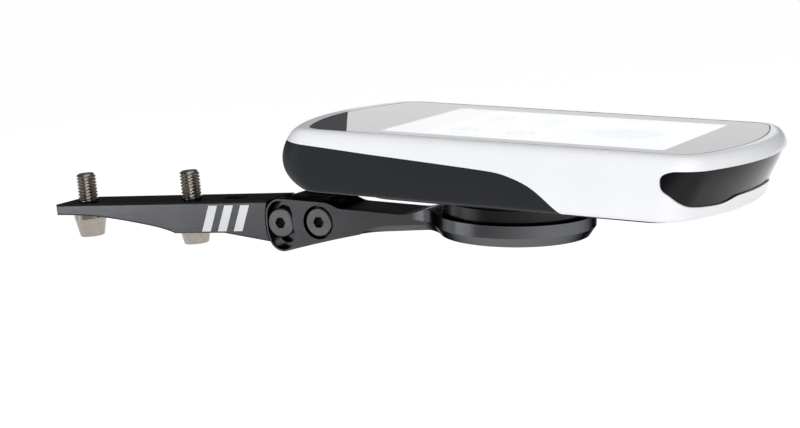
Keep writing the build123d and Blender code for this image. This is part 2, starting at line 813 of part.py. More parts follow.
head = Location((head_reach, 0, 0))
screw_spots = [(head_reach, y) for y in (-insert_screw_circle, insert_screw_circle)]
with BuildPart() as socket_insert:
    with BuildSketch(Plane.XY.offset(insert_bottom)):
        with Locations((head_reach, 0)):
            Circle(neck_radius)
    extrude(amount=collar_low - insert_bottom)
    with BuildSketch(Plane.XY.offset(collar_low)):
        with Locations((head_reach, 0)):
            Circle(collar_radius)
    extrude(amount=insert_top - collar_low)
    chamfer(socket_insert.faces().sort_by(Axis.Z)[-1].edges(), collar_edge)
    with BuildSketch(Plane.XY.offset(insert_floor_top)):
        with Locations((head_reach, 0)):
            Circle(tab_radius + turn_gap)
    extrude(amount=lip_low - insert_floor_top, mode=Mode.SUBTRACT)
    with BuildSketch(Plane.XY.offset(insert_floor_top)):
        with Locations((head_reach, 0)):
            Circle(lug_radius + turn_gap)
        add(head * tab_sectors(tab_radius + turn_gap, tab_angle + entry_spare, 90))
    extrude(amount=insert_top - insert_floor_top, mode=Mode.SUBTRACT)
    with BuildSketch(Plane.XY.offset(insert_bottom)):
        with Locations(screw_spots):
            Circle(insert_screw_radius + thread_gap)
    extrude(amount=insert_floor - 0.3, mode=Mode.SUBTRACT)
socket_insert.part.label = "socket_insert"
export_step(socket_insert.part.moved(arm_place), "parts/socket_insert.step")

with BuildPart() as insert_screws:
    for x, y in screw_spots:
        with Locations(Location((x, y, head_bottom + insert_screw_head_thick + running))):
            add(
                socket_bolt(
                    insert_screw_head,
                    insert_screw_head_thick,
                    insert_screw_radius,
                    insert_bottom + insert_floor - 0.5 - head_bottom - insert_screw_head_thick,
                    small_socket,
                    small_socket_deep,
                )
            )
insert_screws.part.label = "insert_screws"
export_step(insert_screws.part.moved(arm_place), "parts/insert_screws.step")

# ==== Arm =========================================================================================

lock_start = 180 + rest_tilt - tilt_up - slot_spare  # upper end of the lock slot, degrees round the pivot
lock_sweep = tilt_up + tilt_down + 2 * slot_spare
hinge_reach = lock_radius + slot_half + slot_rim
low_end = radians(lock_start + lock_sweep)
low_centre = (lock_radius * cos(low_end), lock_radius * sin(low_end))
high_end = radians(lock_start)
high_centre = (lock_radius * cos(high_end), lock_radius * sin(high_end))
half_arm = arm_width / 2


def lock_slot(half_width):
    """Curved slot round the pivot, as a sketch on XY."""
    start, end = radians(lock_start), radians(lock_start + lock_sweep)
    start_tip = (
        lock_radius * cos(start) + half_width * sin(start),
        lock_radius * sin(start) - half_width * cos(start),
    )
    end_tip = (
        lock_radius * cos(end) - half_width * sin(end),
        lock_radius * sin(end) + half_width * cos(end),
    )
    with BuildSketch(mode=Mode.PRIVATE) as slot:
        with BuildLine():
            outer = CenterArc((0, 0), lock_radius + half_width, lock_start, lock_sweep)
            inner = CenterArc((0, 0), lock_radius - half_width, lock_start, lock_sweep)
            ThreePointArc(outer @ 0, start_tip, inner @ 0)
            ThreePointArc(outer @ 1, end_tip, inner @ 1)
        make_face()
    return slot.sketch


rim = slot_half + slot_rim
waist_x = 11.0  # where the bevel under the waist starts
waist_low = -1.95
rise_from = head_reach - head_radius - 8
rise_to = head_reach - head_radius + 1
head_in = head_reach - head_radius + 4


def waist_side(lift):
    """Side view of the waist. Its lower edge is raised by lift, except where the waist starts."""
    with BuildSketch(mode=Mode.PRIVATE) as waist:
        with BuildLine():
            Line((waist_x, waist_low), (waist_x, arm_waist_top))
            Line((waist_x, arm_waist_top), (rise_from, arm_waist_top))
            rise = Spline(
                (rise_from, arm_waist_top), (rise_to, head_top), tangents=[(1, 0), (1, 0)]
            )
            Line(rise @ 1, (head_in + 3, head_top))
            Line((head_in + 3, head_top), (head_in + 3, head_bottom + lift))
            Line((head_in + 3, head_bottom + lift), (head_in, head_bottom + lift))
            Spline(
                (head_in, head_bottom + lift),
                ((waist_x + head_in) / 2, (waist_low + head_bottom) / 2 + 0.35 + 1.15 * lift),
                (waist_x, waist_low),
                tangents=[(-1, 0), (-1, -0.25 - 0.4 * lift)],
            )
        make_face()
    return waist.sketch


with BuildPart() as arm:
    # round head, flaring out of the straight flanks, with a bevel along its lower edge
    with BuildSketch(Plane.XY.offset(head_bottom + head_bevel[1])) as plan:
        with Locations(((rise_from + head_reach) / 2, 0)):
            Rectangle(head_reach - rise_from, arm_width)
        with Locations((head_reach, 0)):
            Circle(head_radius)
        fillet(
            plan.vertices().filter_by(lambda v: rise_from + 1 < v.X < head_reach), head_blend
        )
    extrude(amount=head_top - head_bottom - head_bevel[1])
    with BuildSketch(Plane.XY.offset(head_bottom + head_bevel[1])):
        add(plan.sketch)
    extrude(amount=-head_bevel[1], taper=head_bevel_angle)
    # the top of the flare dips to the waist
    with BuildSketch(Plane.XZ):
        with BuildLine():
            dip = Spline(
                (rise_from, arm_waist_top), (rise_to, head_top), tangents=[(1, 0), (1, 0)]
            )
            Line(dip @ 1, (rise_to, head_top + 1))
            Line((rise_to, head_top + 1), (rise_from - 1, head_top + 1))
            Line((rise_from - 1, head_top + 1), (rise_from - 1, arm_waist_top))
            Line((rise_from - 1, arm_waist_top), dip @ 0)
        make_face()
    extrude(amount=head_radius, both=True, mode=Mode.SUBTRACT)
    # waist: a full-depth core, and flanks whose lower edges are bevelled
    with BuildSketch(Plane.XZ):
        add(waist_side(0))
    extrude(amount=half_arm - under_bevel, both=True)
    for side in (-1, 1):
        with BuildSketch(Plane.XZ.offset(side * (half_arm - under_bevel))):
            add(waist_side(0))
        with BuildSketch(Plane.XZ.offset(side * half_arm)):
            add(waist_side(under_bevel))
        loft()
    # hinge end
    with BuildSketch(Plane.XZ):
        with BuildLine():
            crown = (high_centre[0] + 2, hinge_top)
            Line(high_centre, (high_centre[0], high_centre[1] + rim))
            Line((high_centre[0], high_centre[1] + rim), crown)
            Line(crown, (1.5, hinge_top))
            ramp = Spline((1.5, hinge_top), (6.5, arm_waist_top), tangents=[(1, 0), (1, 0)])
            Line(ramp @ 1, (waist_x, arm_waist_top))
            Line((waist_x, arm_waist_top), (waist_x, waist_low))
            belly = Spline(
                (waist_x, waist_low),
                (4.4, -3.7),
                (low_centre[0] + 1.2, low_centre[1] - rim + 0.2),
                tangents=[(-1, -0.25), (-1, -0.32)],
            )
            Line(belly @ 1, low_centre)
            Line(low_centre, high_centre)
        make_face()
        add(lock_slot(rim))
    extrude(amount=half_arm, both=True)
    # gap between the cheeks, for the bracket's tongue
    with BuildSketch(Plane.XZ):
        with Locations((-hinge_reach, 0)):
            Rectangle(2 * hinge_reach, 4 * hinge_reach)
        Circle(tongue_radius + turn_gap + 0.35)
    extrude(amount=tongue_thick / 2 + cheek_gap, both=True, mode=Mode.SUBTRACT)
    # pivot hole and lock slot, each with a sunk seat for a head in both cheeks
    with BuildSketch(Plane.XZ):
        Circle(m4_radius + running)
        add(lock_slot(slot_through))
    extrude(amount=arm_width, both=True, mode=Mode.SUBTRACT)
    for side in (-1, 1):
        with BuildSketch(Plane.XZ.offset(side * half_arm)):
            Circle(pivot_spot)
            add(lock_slot(slot_half))
        extrude(amount=-side * spot_depth, mode=Mode.SUBTRACT)
    # pocket for the socket insert, and its screw holes
    with BuildSketch(Plane.XY.offset(insert_bottom)):
        with Locations((head_reach, 0)):
            Circle(neck_radius + seat_gap)
    extrude(amount=head_top, mode=Mode.SUBTRACT)
    with BuildSketch(Plane.XY.offset(head_bottom)):
        with Locations(screw_spots):
            Circle(insert_screw_radius + 0.15)
    extrude(amount=head_top, mode=Mode.SUBTRACT)
    with BuildSketch(Plane.XY.offset(head_bottom)):
        with Locations(screw_spots):
            Circle(insert_screw_head + seat_gap)
    extrude(amount=insert_screw_head_thick + running, mode=Mode.SUBTRACT)
arm.part.label = "arm"
export_step(arm.part.moved(arm_place), "parts/arm.step")

# ==== Bracket =====================================================================================

bracket_rear = -bolt_spacing / 2 - bracket_tail
end_radius_x = hinge_reach + turn_gap
lock_x = pivot_x - lock_radius
half_bracket = bracket_width / 2
slot_foot_turn = radians(lock_start + lock_sweep - rest_tilt)
slot_foot = (lock_radius * cos(slot_foot_turn), lock_radius * sin(slot_foot_turn))


def hinge_end_x(z):
    """X of the bracket's hollow front end at height z."""
    return pivot_x - sqrt(end_radius_x**2 - (z - pivot_z) ** 2)


with BuildPart() as base_bracket:
    with BuildSketch(Plane.XZ):
        with BuildLine():
            Line((bracket_rear, 0), (hinge_end_x(0), 0))
            ThreePointArc(
                (hinge_end_x(0), 0),
                (hinge_end_x(pivot_z), pivot_z),
                (hinge_end_x(-end_thick), -end_thick),
            )
            Line((hinge_end_x(-end_thick), -end_thick), (mid_end, -mid_thick))
            Line((mid_end, -mid_thick), (mid_start, -mid_thick))
            Spline(
                (mid_start, -mid_thick),
                (4.7, -5.25),
                (-5.5, -3.65),
                (bracket_rear, -tail_thick),
                tangents=[(-1, 0.42), (-1, 0)],
            )
            Line((bracket_rear, -tail_thick), (bracket_rear, 0))
        make_face()
    extrude(amount=half_bracket, both=True)
    long_edges = base_bracket.edges().filter_by(
        lambda e: abs(abs(e.center().Y) - half_bracket) < 0.01 and e.center().X < mid_end + 12
    )
    chamfer(long_edges, bracket_bevel)
    # tongue that stands between the arm's cheeks
    with BuildSketch(Plane.XZ):
        with Locations((pivot_x, pivot_z)):
            Circle(tongue_radius)
        with Locations((pivot_x - (end_radius_x + 2) / 2, pivot_z)):
            Rectangle(end_radius_x + 2, 2 * tongue_half)
        with Locations((pivot_x + slot_foot[0], pivot_z + slot_foot[1])):
            Circle(slot_through + tongue_lap)
    extrude(amount=tongue_thick / 2, both=True)
    with BuildSketch(Plane.XZ):
        with Locations((pivot_x, pivot_z), (lock_x, pivot_z)):
            Circle(m4_radius + thread_gap)
    extrude(amount=bracket_width, both=True, mode=Mode.SUBTRACT)
    # stem bolt holes, and the seats of their heads
    with BuildSketch(Plane.XY):
        with Locations((-bolt_spacing / 2, 0), (bolt_spacing / 2, 0)):
            Circle(m5_hole)
    extrude(amount=-end_thick, mode=Mode.SUBTRACT)
    for bolt_x, seat in ((-bolt_spacing / 2, rear_seat), (bolt_spacing / 2, front_seat)):
        with BuildSketch(Plane.XY.offset(-seat)):
            with Locations((bolt_x, 0)):
                Circle(taper_spot)
        extrude(amount=-end_thick, mode=Mode.SUBTRACT)
    # blind window in the top face
    with BuildSketch(Plane.XY):
        with Locations((window_x, 0)):
            SlotOverall(*window_size)
    extrude(amount=-window_deep, mode=Mode.SUBTRACT)
base_bracket.part.label = "base_bracket"
export_step(base_bracket.part, "parts/base_bracket.step")

# ==== Bolts and nuts ==============================================================================

with BuildPart() as stem_bolts:
    for bolt_x, seat in ((-bolt_spacing / 2, rear_seat), (bolt_spacing / 2, front_seat)):
        with BuildSketch(Plane((bolt_x, 0, 0), x_dir=(1, 0, 0), z_dir=(0, -1, 0))):
            with BuildLine():
                Polyline(
                    (0, -seat - taper_height),
                    (taper_tip, -seat - taper_height),
                    (taper_top, -seat - taper_rim),
                    (taper_top, -seat),
                    (m5_shank, -seat),
                    (m5_shank, stud_neck),
                    (m5_radius, stud_neck),
                    (m5_radius, m5_reach - 0.5),
                    (m5_radius - 0.5, m5_reach),
                    (0, m5_reach),
                    close=True,
                )
            make_face()
        revolve(axis=Axis((bolt_x, 0, 0), (0, 0, 1)))
        with BuildSketch(Plane.XY.offset(-seat - taper_height)):
            with Locations((bolt_x, 0)):
                RegularPolygon(taper_socket / 2, 6, major_radius=False)
        extrude(amount=taper_socket_deep, mode=Mode.SUBTRACT)
stem_bolts.part.label = "stem_bolts"
export_step(stem_bolts.part, "parts/stem_bolts.step")

cheek_face = half_arm - spot_depth + running  # bolt heads and nuts bear here
hinge_bolt = socket_bolt(
    m4_head, m4_head_thick, m4_radius, cheek_face + half_arm - 0.5, m4_socket, m4_socket_deep
)
crosswise = Rotation(-90, 0, 0)

with BuildPart() as pivot_bolt:
    add(Location((pivot_x, -cheek_face, pivot_z)) * crosswise * hinge_bolt)
pivot_bolt.part.label = "pivot_bolt"
export_step(pivot_bolt.part, "parts/pivot_bolt.step")

with BuildPart() as lock_bolt:
    add(Location((lock_x, -cheek_face, pivot_z)) * crosswise * hinge_bolt)
lock_bolt.part.label = "lock_bolt"
export_step(lock_bolt.part, "parts/lock_bolt.step")

with BuildPart() as hinge_nuts:
    with BuildSketch(Plane.XZ.offset(-cheek_face)):
        with Locations((pivot_x, pivot_z), (lock_x, pivot_z)):
            Circle(m4_head)
            Circle(m4_radius + thread_gap, mode=Mode.SUBTRACT)
    extrude(amount=-m4_head_thick)
hinge_nuts.part.label = "hinge_nuts"
export_step(hinge_nuts.part, "parts/hinge_nuts.step")
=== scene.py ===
import json
from math import cos, pi, radians, sin

import bmesh
import bpy
from mathutils import Matrix, Vector
from mathutils.bvhtree import BVHTree


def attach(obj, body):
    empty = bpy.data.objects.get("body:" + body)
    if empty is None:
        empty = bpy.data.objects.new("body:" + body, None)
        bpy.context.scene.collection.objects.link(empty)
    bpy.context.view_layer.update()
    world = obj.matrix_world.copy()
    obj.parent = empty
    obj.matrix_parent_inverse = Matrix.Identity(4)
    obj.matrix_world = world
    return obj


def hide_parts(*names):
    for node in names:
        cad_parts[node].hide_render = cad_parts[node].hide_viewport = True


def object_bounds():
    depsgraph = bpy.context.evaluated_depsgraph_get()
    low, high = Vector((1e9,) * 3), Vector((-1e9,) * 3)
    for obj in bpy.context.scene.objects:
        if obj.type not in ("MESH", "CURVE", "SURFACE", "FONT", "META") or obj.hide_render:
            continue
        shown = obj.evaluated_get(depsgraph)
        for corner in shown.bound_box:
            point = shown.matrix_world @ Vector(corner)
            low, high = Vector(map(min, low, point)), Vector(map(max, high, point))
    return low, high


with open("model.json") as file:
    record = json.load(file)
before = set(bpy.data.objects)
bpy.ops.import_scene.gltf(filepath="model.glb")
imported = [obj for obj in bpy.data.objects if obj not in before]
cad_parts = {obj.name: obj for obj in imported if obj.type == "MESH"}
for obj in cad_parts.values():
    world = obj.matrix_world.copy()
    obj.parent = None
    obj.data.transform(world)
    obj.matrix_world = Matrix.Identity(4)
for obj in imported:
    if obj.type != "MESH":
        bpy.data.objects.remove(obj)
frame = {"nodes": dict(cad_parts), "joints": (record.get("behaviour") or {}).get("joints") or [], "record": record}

MM = 0.001
cad_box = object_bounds()
middle = (cad_box[0] + cad_box[1]) / 2

# ---- Places: pieces on the tilted computer and arm are drawn along their own axes ----------------
joints = {joint["name"]: joint for joint in frame["joints"]}
up = Vector(joints["computer_twist"]["axis"]).normalized()
left = Vector((0, 1, 0))
forward = left.cross(up)
tilted = Matrix((forward, left, up)).transposed()
level = Matrix.Identity(3)


def spans(node, axes=tilted):
    """Lowest and highest place of a CAD node along each of three axes."""
    turned = [axes.transposed() @ v.co for v in frame["nodes"][node].data.vertices]
    low = Vector([min(p[i] for p in turned) for i in range(3)])
    high = Vector([max(p[i] for p in turned) for i in range(3)])
    return low, high


# ---- Camera --------------------------------------------------------------------------------------
CAMERA_AT = Vector((0.2895, -0.3824, 0.0585))
CAMERA_HEADING = radians(119.4)  # from +X towards +Y
CAMERA_PITCH = radians(-8.19)
CAMERA_ROLL = radians(-5.42)
CAMERA_LENS = 86.1
CAMERA_SENSOR = 36
CAMERA_SEES = (0.01, 100)  # nearest and furthest


def make_camera():
    data = bpy.data.cameras.new("camera")
    data.lens = CAMERA_LENS
    data.sensor_width = CAMERA_SENSOR
    data.clip_start, data.clip_end = CAMERA_SEES
    camera = bpy.data.objects.new("camera", data)
    bpy.context.scene.collection.objects.link(camera)
    ahead = Vector(
        (
            cos(CAMERA_PITCH) * cos(CAMERA_HEADING),
            cos(CAMERA_PITCH) * sin(CAMERA_HEADING),
            sin(CAMERA_PITCH),
        )
    )
    flat = ahead.to_track_quat("-Z", "Y").to_matrix()
    turn = Matrix.Rotation(CAMERA_ROLL, 3, -ahead)
    camera.matrix_world = Matrix.Translation(CAMERA_AT) @ (turn @ flat).to_4x4()
    bpy.context.scene.camera = camera


# ---- Stage: pale floor and soft studio light -----------------------------------------------------
FLOOR_DROP = 0.10  # floor below the object's lowest point
FLOOR_HALF = 60.0
FLOOR_BRIGHT = 0.95
FLOOR_DIM = 0.12  # in front of the object, where its flanks reflect it
FLOOR_FADE = (-0.60, -0.12)  # along Y, from dim to bright
FLOOR_COLOR = (0.25, 0.25, 0.25, 1)
SKY_COLOR = (0.93, 0.95, 1.0, 1)
SKY_STRENGTH = 0.15
# name, azimuth and elevation in degrees, distance, size and power
SOFTBOXES = (
    ("top_light", -20, 70, 0.9, (0.9, 0.9), 2.4),
    ("left_light", -140, 3, 0.8, (0.46, 0.26), 1.05),
    ("front_light", -62, 30, 1.1, (0.8, 0.5), 9.0),
)
# upright panel behind the object, mirrored by the tilted glass but not by the level bracket
BACK_PANEL = ("back_light", 90, 0, 0.6, (0.335, 0.115), 0.15)
BACK_PANEL_AT = Vector((-0.1075, 0.60, 0.1425))


def softbox(name, azimuth, elevation, distance, size, power):
    """Rectangular soft light that looks at the object. Azimuth runs from +X towards +Y, in degrees."""
    data = bpy.data.lights.new(name, "AREA")
    data.shape = "RECTANGLE"
    data.size, data.size_y = size
    data.energy = power
    lamp = bpy.data.objects.new(name, data)
    a, e = radians(azimuth), radians(elevation)
    away = Vector((cos(e) * cos(a), cos(e) * sin(a), sin(e)))
    lamp.location = middle + away * distance
    lamp.rotation_euler = away.to_track_quat("Z", "Y").to_euler()
    bpy.context.scene.collection.objects.link(lamp)
    return lamp


def make_floor():
    """Floor that is bright behind the object and dimmer towards the camera."""
    z = cad_box[0].z - FLOOR_DROP
    corners = ((-1, -1), (1, -1), (1, 1), (-1, 1))
    mesh = bpy.data.meshes.new("floor")
    mesh.from_pydata([(x * FLOOR_HALF, y * FLOOR_HALF, z) for x, y in corners], [], [(0, 1, 2, 3)])
    floor = bpy.data.objects.new("floor", mesh)
    bpy.context.scene.collection.objects.link(floor)
    n = Nodes("floor")
    split = n.tree.nodes.new("ShaderNodeSeparateXYZ")
    n.link(n.place, split.inputs["Vector"])
    fade = n.tree.nodes.new("ShaderNodeMapRange")
    fade.interpolation_type = "SMOOTHSTEP"
    fade.inputs["From Min"].default_value, fade.inputs["From Max"].default_value = FLOOR_FADE
    fade.inputs["To Min"].default_value = FLOOR_DIM
    fade.inputs["To Max"].default_value = FLOOR_BRIGHT
    n.link(split.outputs["Y"], fade.inputs["Value"])
    n.link(fade.outputs["Result"], n.shader.inputs["Emission Strength"])
    n.set(Base_Color=FLOOR_COLOR, Roughness=0.9, Specular_IOR_Level=0.0)
    n.set(Emission_Color=(1, 1, 1, 1))
    floor.data.materials.append(n.material)


def make_stage():
    world = bpy.data.worlds.new("studio")
    bpy.context.scene.world = world
    world.use_nodes = True
    sky = world.node_tree.nodes["Background"]
    sky.inputs["Color"].default_value = SKY_COLOR
    sky.inputs["Strength"].default_value = SKY_STRENGTH
    make_floor()
    for values in SOFTBOXES:
        softbox(*values)
    softbox(*BACK_PANEL).location = BACK_PANEL_AT
    bpy.context.scene.view_settings.view_transform = "Standard"


# ---- Materials -----------------------------------------------------------------------------------

NOISE_LOW = 0.3  # nearly all of a noise texture's values lie between these two
NOISE_HIGH = 0.7
MOULDED_CLOUD = 90  # features per metre in the uneven colour
MOULDED_GLOSS = 0.12  # share by which the roughness varies
COAT_ROUGHNESS = 0.06
BRUSHED_CLOUD = 160
BRUSHED_GLOSS = 0.10
BRUSHED_LINES = 9000
BRUSHED_DEPTH = 4e-6
TURNED_CLOUD = 400
TURNED_SHADE = 0.12
TURNED_GLOSS = 0.15
TURNED_SPACING = 1.2e-4
TURNED_DEPTH = 3e-6
GLASS_SMUDGES = 60
TRACKS = 700
TRACK_STRETCH = (1, 0.15, 1)
TRACK_DEPTH = 2e-5


class Nodes:
    """Small helper round one material's node tree, with its principled shader as the end."""

    def __init__(self, name):
        self.material = bpy.data.materials.new(name)
        self.material.use_nodes = True
        self.tree = self.material.node_tree
        self.shader = self.tree.nodes["Principled BSDF"]
        self.place = self.tree.nodes.new("ShaderNodeTexCoord").outputs["Object"]

    def link(self, output, socket):
        self.tree.links.new(output, socket)

    def noise(self, scale, stretch=(1, 1, 1), detail=4.0):
        """Noise over the object's own coordinates, scale in features per metre, stretched along axes."""
        mapping = self.tree.nodes.new("ShaderNodeMapping")
        mapping.inputs["Scale"].default_value = stretch
        self.link(self.place, mapping.inputs["Vector"])
        noise = self.tree.nodes.new("ShaderNodeTexNoise")
        noise.inputs["Scale"].default_value = scale
        noise.inputs["Detail"].default_value = detail
        self.link(mapping.outputs["Vector"], noise.inputs["Vector"])
        return noise.outputs["Fac"]

    def rings(self, centre, axis, spacing):
        """Fine turned rings about a centre; axis is the one, 0 to 2, that they turn about."""
        mapping = self.tree.nodes.new("ShaderNodeMapping")
        mapping.inputs["Location"].default_value = [-c for c in centre]
        self.link(self.place, mapping.inputs["Vector"])
        flat = self.tree.nodes.new("ShaderNodeVectorMath")
        flat.operation = "MULTIPLY"
        flat.inputs[1].default_value = [0 if i == axis else 1 for i in range(3)]
        self.link(mapping.outputs["Vector"], flat.inputs[0])
        size = self.tree.nodes.new("ShaderNodeVectorMath")
        size.operation = "LENGTH"
        self.link(flat.outputs["Vector"], size.inputs[0])
        wave = self.tree.nodes.new("ShaderNodeMath")
        wave.operation = "PINGPONG"
        wave.inputs[1].default_value = spacing
        self.link(size.outputs["Value"], wave.inputs[0])
        even = self.tree.nodes.new("ShaderNodeMath")
        even.operation = "DIVIDE"
        even.inputs[1].default_value = spacing
        self.link(wave.outputs["Value"], even.inputs[0])
        return even.outputs["Value"]

    def spread(self, value, low, high):
        """Noise stretched out to run from low to high."""
        ramp = self.tree.nodes.new("ShaderNodeMapRange")
        ramp.inputs["From Min"].default_value = NOISE_LOW
        ramp.inputs["From Max"].default_value = NOISE_HIGH
        ramp.inputs["To Min"].default_value = low
        ramp.inputs["To Max"].default_value = high
        self.link(value, ramp.inputs["Value"])
        return ramp.outputs["Result"]

    def tint(self, value, dark, light):
        """Colour between two, chosen by a value from 0 to 1."""
        mix = self.tree.nodes.new("ShaderNodeMix")
        mix.data_type = "RGBA"
        mix.inputs["A"].default_value = (*dark, 1)
        mix.inputs["B"].default_value = (*light, 1)
        self.link(value, mix.inputs["Factor"])
        return mix.outputs["Result"]

    def bump(self, height, depth):
        """Bump of the given depth in metres."""
        bump = self.tree.nodes.new("ShaderNodeBump")
        bump.inputs["Strength"].default_value = 1.0
        bump.inputs["Distance"].default_value = depth
        self.link(height, bump.inputs["Height"])
        self.link(bump.outputs["Normal"], self.shader.inputs["Normal"])

    def set(self, **values):
        for key, value in values.items():
            self.shader.inputs[key.replace("_", " ")].default_value = value


def shade(value, amount):
    """A colour made lighter or darker by a share."""
    return tuple(min(1.0, c * (1 + amount)) for c in value)


def moulded(name, color, roughness, grain, depth, coat=0.0, variation=0.06, specular=0.5, glow=0.0):
    """Moulded plastic or rubber: fine surface grain, slightly uneven colour and gloss."""
    n = Nodes(name)
    cloud = n.noise(MOULDED_CLOUD)
    mottle = n.tint(n.spread(cloud, 0, 1), shade(color, -variation), shade(color, variation))
    n.link(mottle, n.shader.inputs["Base Color"])
    fine = n.noise(grain, detail=2.0)
    gloss = n.spread(fine, roughness * (1 - MOULDED_GLOSS), roughness * (1 + MOULDED_GLOSS))
    n.link(gloss, n.shader.inputs["Roughness"])
    n.bump(fine, depth)
    n.set(Coat_Weight=coat, Coat_Roughness=COAT_ROUGHNESS, Specular_IOR_Level=specular)
    n.set(Emission_Color=(*color, 1), Emission_Strength=glow)
    return n.material


def brushed(name, color, roughness, along, variation=0.10, edge=1.0):
    """Metal with fine parallel tool lines.

    Along is the stretch that keeps the lines long, and edge is how bright it is at a grazing angle.
    """
    n = Nodes(name)
    streak = n.noise(BRUSHED_LINES, stretch=along, detail=3.0)
    cloud = n.noise(BRUSHED_CLOUD)
    worn = n.tint(n.spread(streak, 0, 1), shade(color, -variation), shade(color, variation))
    n.link(worn, n.shader.inputs["Base Color"])
    gloss = n.spread(cloud, roughness * (1 - BRUSHED_GLOSS), roughness * (1 + BRUSHED_GLOSS))
    n.link(gloss, n.shader.inputs["Roughness"])
    n.bump(streak, BRUSHED_DEPTH)
    n.set(Metallic=1.0, Specular_Tint=(edge, edge, edge, 1))
    return n.material


def turned(name, color, roughness, centre, axis):
    """Metal faced on a lathe, with fine rings about a centre."""
    n = Nodes(name)
    ring = n.rings(centre, axis, TURNED_SPACING)
    cloud = n.noise(TURNED_CLOUD)
    uneven = n.tint(n.spread(cloud, 0, 1), shade(color, -TURNED_SHADE), shade(color, TURNED_SHADE))
    n.link(uneven, n.shader.inputs["Base Color"])
    gloss = n.spread(cloud, roughness * (1 - TURNED_GLOSS), roughness * (1 + TURNED_GLOSS))
    n.link(gloss, n.shader.inputs["Roughness"])
    n.bump(ring, TURNED_DEPTH)
    n.set(Metallic=1.0)
    return n.material


def clear_glass():
    """Polished glass with faint smudges."""
    n = Nodes("cover_glass")
    smudge = n.noise(GLASS_SMUDGES)
    n.link(n.spread(smudge, 0.0, 0.02), n.shader.inputs["Roughness"])
    pale = n.tint(n.spread(smudge, 0, 1), (0.97, 0.98, 0.985), (0.99, 0.995, 1.0))
    n.link(pale, n.shader.inputs["Base Color"])
    n.set(Transmission_Weight=1.0, IOR=1.5)
    return n.material


def circuit():
    """Green solder resist with copper showing through in fine tracks."""
    n = Nodes("circuit_board")
    track = n.noise(TRACKS, stretch=TRACK_STRETCH, detail=0.0)
    resist = n.tint(n.spread(track, 0, 1), (0.012, 0.075, 0.035), (0.03, 0.14, 0.06))
    n.link(resist, n.shader.inputs["Base Color"])
    n.bump(track, TRACK_DEPTH)
    n.set(Roughness=0.35)
    return n.material


LENGTHWISE = (0.02, 1, 1)
UPRIGHT = (1, 1, 0.03)
EVEN = (1, 1, 1)
STEEL_GREY = (0.15, 0.15, 0.155)
STEEL_ROUGHNESS = 0.36
FACE_ROUGHNESS = 0.34
pivot_spot = Vector(joints["arm_tilt"]["pos_m"])
lock_low, lock_high = spans("lock_bolt", level)
lock_spot = (lock_low + lock_high) / 2

finishes = {
    "case_white": moulded("white_case", (0.80, 0.81, 0.83), 0.30, 2600, 2e-6, coat=0.25, variation=0.012),
    "case_black": moulded("black_case", (0.011, 0.012, 0.016), 0.50, 5200, 1.0e-5, specular=0.22),
    "gloss_black": moulded("nose_gloss", (0.003, 0.003, 0.004), 0.06, 900, 1e-6, specular=0.22),
    "seal_rubber": moulded("seal_rubber", (0.02, 0.02, 0.02), 0.6, 3000, 1e-5),
    "steel_screw": brushed("screw_steel", (0.34, 0.34, 0.35), 0.34, EVEN),
    "glass": clear_glass(),
    "foam_tape": moulded("foam_tape", (0.02, 0.02, 0.022), 0.8, 5000, 2e-5),
    "lcd": moulded("display_stack", (0.03, 0.032, 0.036), 0.2, 900, 1e-6),
    "tray_metal": brushed("tray_metal", (0.6, 0.61, 0.62), 0.3, LENGTHWISE),
    "circuit_board": circuit(),
    "shield_metal": brushed("shield_metal", (0.62, 0.62, 0.6), 0.28, LENGTHWISE),
    "battery_foil": brushed("battery_foil", (0.5, 0.52, 0.55), 0.4, (1, 0.1, 1)),
    "buzzer_plastic": moulded("buzzer_plastic", (0.02, 0.02, 0.02), 0.5, 3000, 1e-5),
    "ceramic": moulded("ceramic", (0.6, 0.56, 0.48), 0.5, 3000, 6e-6),
    "steel_shell": brushed("steel_shell", (0.55, 0.55, 0.56), 0.26, LENGTHWISE),
    "switch_plastic": moulded("switch_plastic", (0.05, 0.05, 0.055), 0.5, 3000, 8e-6),
    "button_rubber": moulded("button_rubber", (0.02, 0.0205, 0.023), 0.52, 5000, 1.4e-5),
    "lug_plastic": moulded("lug_plastic", (0.012, 0.012, 0.014), 0.4, 4000, 8e-6),
    "insert_plastic": moulded("insert_plastic", (0.007, 0.007, 0.008), 0.24, 4000, 4e-6, specular=0.35),
    "black_anodised": brushed("black_anodised", (0.125, 0.127, 0.134), 0.20, LENGTHWISE, edge=0.1),
    "nickel_steel": brushed("nickel_steel", (0.34, 0.31, 0.275), 0.20, UPRIGHT, variation=0.25),
    "grey_steel": brushed("grey_steel", STEEL_GREY, STEEL_ROUGHNESS, EVEN),
}
bolt_faces = {
    "pivot_bolt": turned("pivot_bolt_steel", STEEL_GREY, FACE_ROUGHNESS, pivot_spot, 1),
    "lock_bolt": turned("lock_bolt_steel", STEEL_GREY, FACE_ROUGHNESS, lock_spot, 1),
}
print_grey = moulded("grey_print", (0.62, 0.63, 0.65), 0.45, 4000, 3e-6)
icon_grey = moulded("icon_print", (0.30, 0.31, 0.33), 0.5, 4000, 3e-6)
bezel_black = moulded("bezel_print", (0.006, 0.006, 0.008), 0.3, 2000, 1e-6)
gasket_grey = moulded("gasket_rubber", (0.030, 0.031, 0.045), 0.45, 4000, 6e-6)
# painted shade: near-black material for the liners, standing in for the shade inside the hinge bolts' hex sockets
socket_painted_shade = moulded("socket_shadow", (0.006, 0.006, 0.006), 0.55, 3000, 5e-6, specular=0.2)


def dress_nodes():
    """Gives each CAD node the finish of its material slot, and the hinge bolts a turned face."""
    for entry in frame["record"]["subparts"]:
        finish = bolt_faces.get(entry["node"], finishes[entry["material_slot"]])
        frame["nodes"][entry["node"]].material_slots[0].material = finish


# ---- Pieces --------------------------------------------------------------------------------------

CIRCLE_SIDES = 40
LATHE_SIDES = 48


